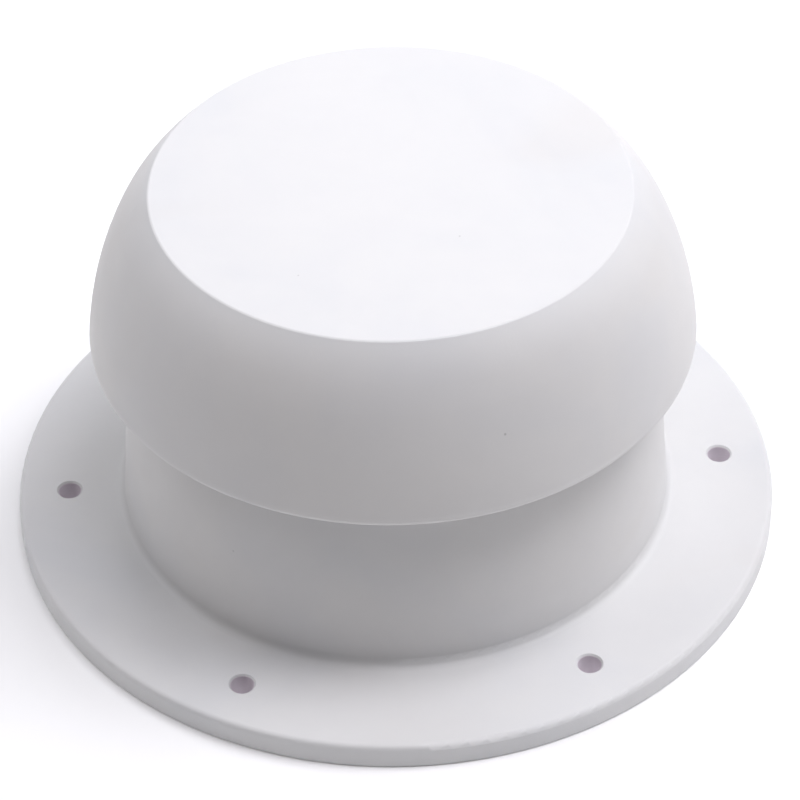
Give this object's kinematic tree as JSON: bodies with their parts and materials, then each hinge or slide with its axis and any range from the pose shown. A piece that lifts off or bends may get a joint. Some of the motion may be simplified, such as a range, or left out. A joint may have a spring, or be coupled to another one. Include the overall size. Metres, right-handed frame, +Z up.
{
  "type": "deck mushroom ventilator",
  "caption": "Round closable mushroom ventilator: screw-down flange and neck, domed cap with a flat top that a handwheel below raises and lowers on a spindle.",
  "frame": {"origin": "centre of the deck face, the underside of the flange", "axes": "+Z up through the cap; +X through one of the six deck screw holes"},
  "size_m": [0.15, 0.15, 0.0767],
  "materials": {
    "white_plastic": "fine matte moulded white",
    "grey_plastic": "matte moulded, glass filled",
    "stainless": "turned and tumbled stainless",
    "brass": "machined",
    "black_rubber": "matte EPDM",
    "screen_wire": "woven fine wire"
  },
  "bodies": {
    "base": {"base_housing": "white_plastic", "deck_gasket": "black_rubber", "bridge": "grey_plastic", "bridge_screws": "stainless", "spindle_bush": "brass", "screen_frame": "white_plastic", "insect_screen": "screen_wire", "screen_eyelet": "brass", "screen_screws": "stainless", "thrust_washer": "stainless"},
    "spindle": {"spindle": "stainless", "retaining_washer": "stainless", "retaining_clip": "stainless", "stop_clip": "stainless", "knob": "white_plastic", "knob_screw": "stainless", "knob_cap": "grey_plastic"},
    "cap": {"cap_shell": "white_plastic", "closing_plate": "grey_plastic", "plate_screws": "stainless", "spindle_nut": "brass", "seal_ring": "black_rubber"}
  },
  "joints": [
    {"name": "knob_turn", "type": "hinge", "parent": "base", "child": "spindle", "pos_m": [0, 0, 0.016], "axis": [0, 0, 1], "range_deg": [0, 1441]},
    {"name": "cap_lift", "type": "slide", "parent": "base", "child": "cap", "axis": [0, 0, 1], "range_m": [-0.01, 0]}
  ],
  "couplings": [
    {"joint": "knob_turn", "follows": "cap_lift", "rad_per_m": -2513.3}
  ]
}
